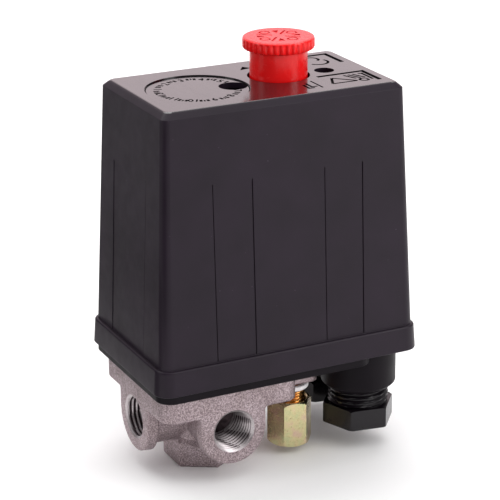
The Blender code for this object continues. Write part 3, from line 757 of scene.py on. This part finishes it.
def make_base():
    low, high = span("base_frame")
    manifold_top = span("manifold")[1].z
    rim_right = 46.1
    rim_left = centre("cover").x - 42.4
    rim_half = 26.3
    rim_top = span("cover")[0].z - 0.3
    bottom = manifold_top + 0.3
    outline = rounded_rectangle(rim_left, rim_right, -rim_half, rim_half, 5.0)
    inner = rounded_rectangle(rim_left + 0.3, rim_right - 0.3, 0.3 - rim_half, rim_half - 0.3, 4.7)
    rim = loft(at_height(inner, bottom), at_height(outline, bottom + 0.3), at_height(outline, rim_top))
    base = new_object("base_shell", rim, BASE_BLACK)
    glands = [centre(f"gland_nut_{name}") for name in ("front", "rear")]
    radius = 11.55
    chamfer = [(0, low.z), (radius - 1.8, low.z), (radius - 1.5, low.z + 0.12), (radius - 0.1, low.z + 1.5)]
    chamfer += [(radius, low.z + 1.75), (radius, rim_top), (radius - 1, rim_top)]
    chamfer += [(radius - 1, 34.6), (0, 34.6)]
    shapes = [moved(turned(chamfer, 96), at.x, at.y) for at in glands]
    middle = centre("cover").x
    plug = rounded_rectangle(middle - 40, middle + 40, -24, 24, 3.0, 6)
    shapes.append(prism(plug, rim_top + 0.5, high.z))
    shapes.append(box(rim_left + 4, rim_right + 1, -22, 22, rim_top - 1, rim_top + 1.3))
    shapes.append(box(glands[0].x - 4, glands[0].x + 4, -2, 2, low.z + 4.8, rim_top + 1.1))
    combine(base, "UNION", shapes)
    under, over = 30, 37  # heights clear of the base's deck
    holes = [cylinder(8.6, under, over)]
    unloader = centre("unloader_body")
    holes.append(moved(cylinder(1.7, under, over, 32), unloader.x, unloader.y))
    for number in (1, 2, 3, 4):
        at = centre(f"manifold_screw_{number}")
        holes.append(moved(cylinder(2.3, under, over, 32), at.x, at.y))
    for number in (1, 2):
        at = centre(f"cover_screw_{number}")
        stepped = [(0, under), (3.3, under), (3.3, 33.3), (1.9, 33.3), (1.9, over), (0, over)]
        holes.append(moved(turned(stepped, 40), at.x, at.y))
        at = centre(f"earth_screw_{number}")
        holes.append(moved(cylinder(1.8, 31.6, over, 32), at.x, at.y))
    for at in glands:
        bore = [(0, 18), (10.4, 18), (9.8, low.z + 0.6), (9.8, 33), (7.0, 33), (7.0, over), (0, over)]
        holes.append(moved(turned(bore, 96), at.x, at.y))
    combine(base, "DIFFERENCE", holes)
    finish(base, "base_frame", 32, bevel=0.12)


# Knob ---------------------------------------------------------------------------------------------


def make_knob():
    low, high = span("knob")
    at = centre("knob")
    cap, neck = (high.x - low.x) / 2, 8.65
    flutes, per_flute = 36, 10
    steps = flutes * per_flute
    underside = high.z - 3.6

    def ring(radius, z, flute=0.0):
        points = []
        for i in range(steps):
            angle = tau * i / steps
            wave = 0.5 - 0.5 * cos(angle * flutes)
            r = radius - flute * wave**1.6
            points.append((*polar(at, r, angle), z))
        return points

    rows = [ring(neck - 1.2, low.z), ring(neck - 0.5, low.z + 0.15), ring(neck - 0.05, low.z + 0.8)]
    rows += [ring(neck, low.z + 1.5), ring(neck - 0.02, low.z + 6), ring(neck - 0.05, underside - 0.8)]
    rows += [ring(neck + 0.05, underside - 0.25), ring(neck + 0.35, underside)]
    rows += [ring(cap - 0.75, underside + 0.05, 0.3), ring(cap - 0.25, underside + 0.25, 0.5)]
    rows += [ring(cap, underside + 0.7, 0.55), ring(cap, high.z - 1.4, 0.5), ring(cap, high.z - 0.85, 0.3)]
    rows += [ring(cap - 0.03, high.z - 0.55, 0.08), ring(cap - 0.18, high.z - 0.25)]
    rows += [ring(cap - 0.5, high.z - 0.06), ring(cap - 0.9, high.z)]
    knob = new_object("push_pull_knob", loft(*rows), RED, ENGRAVED_RED)
    combine(knob, "DIFFERENCE", [moved(cylinder(3.35, low.z - 1, low.z + 7.5), at.x, at.y)])
    engrave(knob, knob_marks(at, high.z), ENGRAVED_RED)
    finish(knob, "knob", 32)


def knob_marks(at, top):
    """Engraved rings, bars and arrowheads in a circle round the middle of the cap."""
    depth = 0.28

    def spot(radius, degrees):
        return polar(at, radius, radians(degrees))

    for degrees in (20, 110, 200, 290):
        yield arc_groove(spot(5.7, degrees), 1.45, 0, 344, 0.6, top, depth)
        yield groove([spot(2.0, degrees + 27), spot(6.8, degrees + 27)], 0.65, top, depth)
        tip, left, right = spot(3.2, degrees + 52), spot(6.5, degrees + 44), spot(6.5, degrees + 62)
        yield prism([tip, left, right], top - depth, top + 1)


# Manifold -----------------------------------------------------------------------------------------


def port_directions():
    low, high = span("manifold")
    return (((-1, 0, 0), -low.x), ((0, -1, 0), -low.y), ((0, 1, 0), high.y))


def port_arm(direction, reach):
    """A port's U-shaped slab with a little draft, and the narrower arm behind it."""
    across = Vector((-direction[1], direction[0]))
    out = Vector(direction[:2])
    top = 26.0

    def section(half_width, distance):
        angles = [pi + pi * i / 32 for i in range(33)]
        points = [(half_width * cos(a), PORT_HEIGHT + half_width * sin(a)) for a in angles]
        points += [(half_width, top), (-half_width, top)]
        return [(*(out * distance + across * side), z) for side, z in points]

    slab = loft(section(10.85, reach - 3.5), section(10.5, reach))
    arm = loft(section(9.2, 2), section(9.0, reach - 1))
    return [slab, arm]


def port_cutter():
    """A threaded port with a small chamfer at its mouth, z = 0, and a drill point at its end painted dark as
    shade.
    """
    profile = [(0, 1.0), (PORT_MOUTH + 0.7, 1.0), (PORT_MOUTH, 0.0), (PORT_RADIUS + 0.1, -0.45)]
    profile += [(PORT_RADIUS, -0.5), (PORT_RADIUS, -PORT_DEPTH)]
    profile += [(3.0, -PORT_DEPTH - 1.6), (0, -PORT_DEPTH - 1.6)]
    bm = turned(profile, 96, (-PORT_DEPTH, -0.15, PIPE_PITCH, -PIPE_THREAD))
    # Painted shade: the drill point at the far end takes the dark second material, as the thread's roots do.
    for face in bm.faces:
        if face.calc_center_median().z < -PORT_DEPTH:
            face.material_index = 1
    return bm


def make_manifold():
    low, high = span("manifold")
    flange_low, flange_high = high.z - 7.5, high.z
    flange = rounded_rectangle(low.x, -low.x, low.y, high.y, 5.0)
    manifold = new_object("manifold_casting", prism(flange, flange_low, flange_high), CAST, MACHINED)
    foot = hexagon(20.8)
    shapes = [prism(rounded_rectangle(-low.x - 6, high.x, -13.6, 13.6, 3.0, 6), flange_low, flange_high)]
    shapes.append(turned([(0, 6.5), (10.2, 6.5), (12.0, 10.0), (12.0, 25), (0, 25)]))
    shapes.append(loft(at_height(hexagon(20.0), 0), at_height(foot, 0.5), at_height(foot, 8.1)))
    for direction, reach in port_directions():
        shapes += port_arm(direction, reach)
    combine(manifold, "UNION", shapes)
    soften_casting(manifold)
    cuts = [facing(moved(port_cutter(), z=reach), way, PORT_HEIGHT) for way, reach in port_directions()]
    cuts.append(facing(port_cutter(), (0, 0, -1), 0))
    cuts += [facing(cylinder(3.0, 3.2, reach - 11), way, PORT_HEIGHT) for way, reach in port_directions()]
    cuts.append(cylinder(4.2, 12, 29.5))
    cuts.append(cylinder(13.4, high.z - 1.5, high.z + 2))
    unloader = centre("unloader_body")
    stem = [(0, 22), (4.4, 22), (4.4, 27.5), (1.7, 27.5), (1.7, 32), (0, 32)]
    cuts.append(moved(turned(stem, 48), unloader.x, unloader.y))
    for number in (1, 2, 3, 4):
        at = centre(f"manifold_screw_{number}")
        cuts.append(moved(cylinder(2.3, 24.6, 32, 32), at.x, at.y))
    # The cut faces are machined metal, and the thread roots and drill points take the dark painted-shade
    # metal.
    combine(manifold, "DIFFERENCE", cuts, (MACHINED, PAINTED_ROOT_SHADE))
    finish(manifold, "manifold", 38, weighted=False)


def soften_casting(obj):
    """Rounds every edge as a casting's are, and gives the skin a slight unevenness."""
    remesh = obj.modifiers.new("voxels", "REMESH")
    remesh.mode = "VOXEL"
    remesh.voxel_size = 0.36 * MM
    remesh.use_smooth_shade = True
    smooth = obj.modifiers.new("fillets", "SMOOTH")
    smooth.factor = 0.5
    smooth.iterations = 2
    texture = bpy.data.textures.new("cast_skin", "CLOUDS")
    texture.noise_scale = 2.4 * MM
    texture.noise_depth = 3
    rough = obj.modifiers.new("skin", "DISPLACE")
    rough.texture = texture
    rough.strength = 0.05 * MM
    rough.mid_level = 0.5
    bake_modifiers(obj)


# Unloader valve -----------------------------------------------------------------------------------


def make_unloader():
    at = centre("unloader_nut")
    low, high = heights("unloader_nut")
    flats = 12.3
    corner = flats / sqrt(3)
    nut = new_object(
        "unloader_hex_nut", prism(hexagon(flats, HEX_TURN - pi / 2, (at.x, at.y)), low, high), YELLOW_ZINC
    )
    round_off = [(0, low), (corner - 1.7, low), (corner - 1.1, low + 0.25), (corner - 0.35, low + 0.8)]
    round_off += [(corner + 0.1, low + 1.5), (corner + 0.1, high - 1.1), (corner - 0.5, high - 0.45)]
    round_off += [(corner - 1.2, high), (0, high)]
    combine(nut, "INTERSECT", [moved(turned(round_off, 96), at.x, at.y)])
    hollow = [(0, low - 1), (3.7, low - 1), (3.7, low), (3.2, low + 0.5), (3.2, 7.2), (5.2, 7.2)]
    hollow += [(5.2, high - 0.4), (5.6, high), (5.6, high + 1), (0, high + 1)]
    combine(nut, "DIFFERENCE", [moved(turned(hollow, 72, (8.0, high - 0.4, 1.0, -0.25)), at.x, at.y)])
    finish(nut, "unloader_nut", 32, bevel=0.14)

    washer_low, washer_high = heights("unloader_washer")
    radius, hole = 5.9, 4.7
    ring = [(hole, washer_low + 0.2), (hole + 0.2, washer_low), (radius - 0.25, washer_low)]
    ring += [(radius, washer_low + 0.25), (radius, washer_high - 0.2), (radius - 0.2, washer_high)]
    ring += [(hole, washer_high)]
    washer = new_object("nylon_washer", moved(turned(ring, 72), at.x, at.y), SLOT_MATERIALS["natural_nylon"])
    finish(washer, "unloader_washer", 40)

    low, high = heights("unloader_body")
    bore, stem, spigot = 1.7, 4.9, 4.1
    profile = [(bore, low), (stem - 0.6, low), (stem, low + 0.6), (stem, 20.4), (stem - 0.5, 20.8)]
    profile += [(spigot, 20.8), (spigot, high), (bore, high)]
    body = turned(profile, 72, (low + 0.5, 20.5, 1.0, 0.55))
    stud = new_object("unloader_stud", moved(body, at.x, at.y), COPPERY_BRASS)
    finish(stud, "unloader_body", 40)


# Cable glands -------------------------------------------------------------------------------------


def make_gland_nut(name):
    node = f"gland_nut_{name}"
    at = centre(node)
    low, high = heights(node)
    head_top = low + 6.5
    flats, thread_radius, hole = 19.8, 9.4, 6.3
    corner = flats / sqrt(3)
    head = prism(hexagon(flats, HEX_TURN - pi / 2, (at.x, at.y)), low, head_top)
    nut = new_object(f"cable_gland_nut_{name}", head, NUT_BLACK)
    round_off = [(0, low), (corner - 0.35, low), (corner + 0.1, low + 0.25), (corner + 0.1, head_top - 0.35)]
    round_off += [(corner - 0.5, head_top), (0, head_top)]
    combine(nut, "INTERSECT", [moved(turned(round_off, 96), at.x, at.y)])
    pitch, depth = 1.5, 0.75
    shank = [(0, head_top - 1), (thread_radius, head_top - 1), (thread_radius, high), (0, high)]
    combine(nut, "UNION", [moved(turned(shank, 96, (head_top - 1, high, pitch, depth)), at.x, at.y)])
    way = [(0, low - 1), (hole + 1.4, low - 1), (hole + 0.4, low), (hole, low + 0.6)]
    way += [(hole, high + 1), (0, high + 1)]
    combine(nut, "DIFFERENCE", [moved(turned(way, 96), at.x, at.y)])
    finish(nut, node, 30, bevel=0.1)


# Springs, screws and the rest ---------------------------------------------------------------------


def coil_path(at, radius, wire, foot, head, turns):
    """A helix with one turn drawn in flat at each end."""
    per_turn = 40
    total = turns + 2
    path = []
    for i in range(int(total * per_turn) + 1):
        turn = i / per_turn
        if turn < 1:
            z = foot + 2 * wire * turn
        elif turn > total - 1:
            z = head - 2 * wire * (total - turn)
        else:
            z = foot + 2 * wire + (head - foot - 4 * wire) * (turn - 1) / turns
        path.append((*polar(at, radius, tau * turn), z))
    return path


def make_spring(node, wire, turns, seat=None, lift=0.0):
    """A compression spring with closed ends, from foot to top of its node.

    Where a seat presses its top and the piston lifts its foot, it is two halves that meet at mid-height.
    """
    low, high = span(node)
    at = centre(node)
    path = coil_path(at, (high.x - low.x) / 2 - wire, wire, low.z + wire, high.z - wire, turns)
    metal = SLOT_MATERIALS["spring_steel"]
    if not seat:
        finish(new_object(f"{node}_coil", swept(path, wire, 14), metal), node, 50, weighted=False)
        return
    middle = len(path) // 2
    travel = abs(next(j["range_m"][0] for j in frame["joints"] if j["name"] == seat)) / MM
    halves = (("lower", path[: middle + 1], "piston_stroke", lift), ("upper", path[middle:], seat, travel))
    for name, points, joint, squeezed in halves:
        half = new_object(f"{node}_{name}_coil", swept(points, wire, 14), metal)
        finish(half, node, 50, weighted=False)
        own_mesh(half)


def cross_recess(x, y, top, size, depth):
    """A tapered cross for a screw's head."""
    for turn in (0, pi / 2):
        low = [(size * 0.55, 0.25), (-size * 0.55, 0.25), (-size * 0.55, -0.25), (size * 0.55, -0.25)]
        high = [(size, 0.45), (-size, 0.45), (-size, -0.45), (size, -0.45)]
        cut = loft(at_height(low, -depth), at_height(high, 0.3))
        yield moved(spun(cut, turn + 0.3), x, y, top)


def pan_screw(node, shank, head, head_low, head_high, pitch=0.8):
    """A pan-head screw with a threaded shank and a cross recess, head up."""
    at = centre(node)
    low = span(node)[0].z
    profile = [(0, low), (shank - 0.4, low), (shank, low + 0.4), (shank, head_low), (head - 0.1, head_low)]
    profile += [(head, head_low + 0.2), (head, head_low + (head_high - head_low) * 0.45)]
    profile += [(head * 0.93, head_low + (head_high - head_low) * 0.72)]
    profile += [(head * 0.75, head_high - 0.12), (head * 0.5, head_high), (0, head_high)]
    thread = (low + 0.3, head_low - 0.5, pitch, 0.3)
    bm = moved(turned(profile, 40, thread), at.x, at.y)
    screw = new_object(f"{node}_pan_head", bm, SLOT_MATERIALS[SLOT_OF[node]])
    combine(screw, "DIFFERENCE", list(cross_recess(at.x, at.y, head_high, head * 0.55, 1.2)))
    finish(screw, node, 40, weighted=False)


def cover_screw(node):
    """A countersunk-well screw, head down."""
    at = centre(node)
    low, high = heights(node)
    profile = [(0, low), (1.6, low), (2.5, low + 0.25), (2.9, low + 0.8), (2.9, low + 2.0), (1.6, low + 2.0)]
    profile += [(1.6, high - 0.8), (0.5, high), (0, high)]
    bm = moved(turned(profile, 40, (low + 2.2, high - 0.8, 1.1, 0.4)), at.x, at.y)
    screw = new_object(f"{node}_head", bm, SLOT_MATERIALS[SLOT_OF[node]])
    recess = [spun(cut, pi, "X") for cut in cross_recess(0, 0, 0, 1.7, 1.3)]
    combine(screw, "DIFFERENCE", [moved(cut, at.x, at.y, low) for cut in recess])
    finish(screw, node, 40, weighted=False)


def adjusting_screw(node, pitch):
    """A slotted adjusting screw with a pointed tip and its thread."""
    at = centre(node)
    low, high = span(node)
    radius = (high.x - low.x) / 2
    profile = [(0, low.z), (radius - 1, low.z), (radius, low.z + 1), (radius, high.z - 3.2)]
    profile += [(radius, high.z - 0.35), (radius - 0.35, high.z), (0, high.z)]
    thread = (low.z + 1, high.z - 3.2, pitch, 0.45)
    bm = moved(turned(profile, 48, thread), at.x, at.y)
    screw = new_object(f"{node}_slotted", bm, SLOT_MATERIALS[SLOT_OF[node]])
    slot = box(at.x - 5, at.x + 5, at.y - 0.5, at.y + 0.5, high.z - 1.4, high.z + 1)
    combine(screw, "DIFFERENCE", [slot])
    finish(screw, node, 40, weighted=False)


def softened(node):
    """A copy of a CAD node with its edges rounded."""
    bm = bmesh.new()
    bm.from_mesh(frame["nodes"][node].data)
    bmesh.ops.remove_doubles(bm, verts=bm.verts, dist=1e-7)
    bmesh.ops.dissolve_limit(bm, angle_limit=radians(0.5), verts=bm.verts, edges=bm.edges)
    bmesh.ops.scale(bm, vec=(1 / MM, 1 / MM, 1 / MM), verts=bm.verts)
    obj = new_object(f"{node}_part", bm, SLOT_MATERIALS[SLOT_OF[node]])
    finish(obj, node, 40, bevel=0.15)


def make_internals():
    make_spring("main_spring", 1.0, 5.5, "main_seat_travel", 1.9)
    make_spring("differential_spring", 0.4, 3.5, "differential_seat_travel", 3.2)
    make_spring("unloader_spring", 0.4, 3.0)
    for number in (1, 2, 3, 4):
        pan_screw(f"manifold_screw_{number}", 2.0, 3.8, 38.1, 41.0)
        pan_screw(f"terminal_screw_{number}", 1.5, 2.8, 67.6, 69.8, 0.6)
    for number in (1, 2):
        pan_screw(f"earth_screw_{number}", 1.5, 3.0, 38.1, 40.3, 0.6)
        cover_screw(f"cover_screw_{number}")
    adjusting_screw("main_adjusting_screw", 1.0)
    adjusting_screw("differential_adjusting_screw", 0.8)
    made = {node for obj in bpy.data.objects for node in obj.get("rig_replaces", [])}
    for node in sorted(set(BODY_OF) - made):
        softened(node)


# Studio -------------------------------------------------------------------------------------------


def make_floor():
    bm = bmesh.new()
    bmesh.ops.create_circle(bm, cap_ends=True, segments=96, radius=2600)
    paper = Shading("floor_paper", (0.97, 0.97, 0.97), 0.9, specular_ior_level=0.1)
    new_object("floor", moved(bm, z=-0.05), paper.material)


def softbox(name, azimuth, elevation, distance, width, height, power, colour=(1, 1, 1)):
    """A soft rectangular light that looks at the object and doesn't show itself."""
    light = bpy.data.lights.new(name, "AREA")
    light.shape = "RECTANGLE"
    light.size, light.size_y = width, height
    light.energy = power
    light.color = colour
    obj = bpy.data.objects.new(name, light)
    a, e = radians(azimuth), radians(elevation)
    toward = Vector((sin(a) * cos(e), -cos(a) * cos(e), sin(e)))
    obj.location = AIM + toward * distance
    obj.rotation_euler = toward.to_track_quat("Z", "Y").to_euler()
    obj.visible_camera = False
    bpy.context.scene.collection.objects.link(obj)
    return obj


def reflection_card(name, grey, *limits):
    """A grey block that shows only in reflections, to keep that side dark. Its limits are a box's."""
    card = new_object(name, box(*limits), Shading(name, (grey, grey, grey), 0.9).material)
    for kind in ("camera", "diffuse", "shadow", "transmission", "volume_scatter"):
        setattr(card, f"visible_{kind}", False)


def make_studio():
    """Azimuths are seen from above: 0 is straight in front of the object, and the camera is at -26."""
    make_floor()
    softbox("left_softbox", -100, 20, 0.9, 0.35, 0.7, 1.3)
    softbox("right_softbox", 40, 20, 0.9, 0.45, 0.7, 3.8)
    softbox("back_softbox", 154, 22, 1.2, 1.6, 0.8, 3.0, (1.0, 0.78, 0.84))
    softbox("top_softbox", 15, 68, 0.9, 0.9, 0.9, 3.6)
    floor_light = softbox("floor_softbox", 180, 60, 1.0, 1.4, 0.8, 9)
    floor_light.rotation_euler = (0, 0, 0)
    reflection_card("left_card", 0.2, -400, -45, -20, 500, 14, 62)
    reflection_card("corner_card", 0.02, -100, -80, -110, -30, 30, 100)
    world = bpy.data.worlds.new("studio")
    world.use_nodes = True
    sky = world.node_tree.nodes["Background"]
    sky.inputs["Color"].default_value = (1.0, 0.985, 0.99, 1.0)
    sky.inputs["Strength"].default_value = 0.42
    bpy.context.scene.world = world
    bpy.context.scene.view_settings.view_transform = "Standard"


def make_camera():
    camera = bpy.data.cameras.new("camera")
    camera.lens = LENS
    camera.sensor_width = 36
    obj = bpy.data.objects.new("camera", camera)
    toward = Vector((sin(AZIMUTH) * cos(ELEVATION), -cos(AZIMUTH) * cos(ELEVATION), sin(ELEVATION)))
    obj.location = AIM + toward * DISTANCE
    turn = toward.to_track_quat("Z", "Y").to_matrix() @ Matrix.Rotation(ROLL, 3, "Z")
    obj.rotation_euler = turn.to_euler()
    bpy.context.scene.collection.objects.link(obj)
    bpy.context.scene.camera = obj


def main():
    make_cover()
    make_base()
    make_knob()
    make_manifold()
    make_unloader()
    for name in ("front", "rear"):
        make_gland_nut(name)
    make_internals()
    make_camera()
    make_studio()


main()
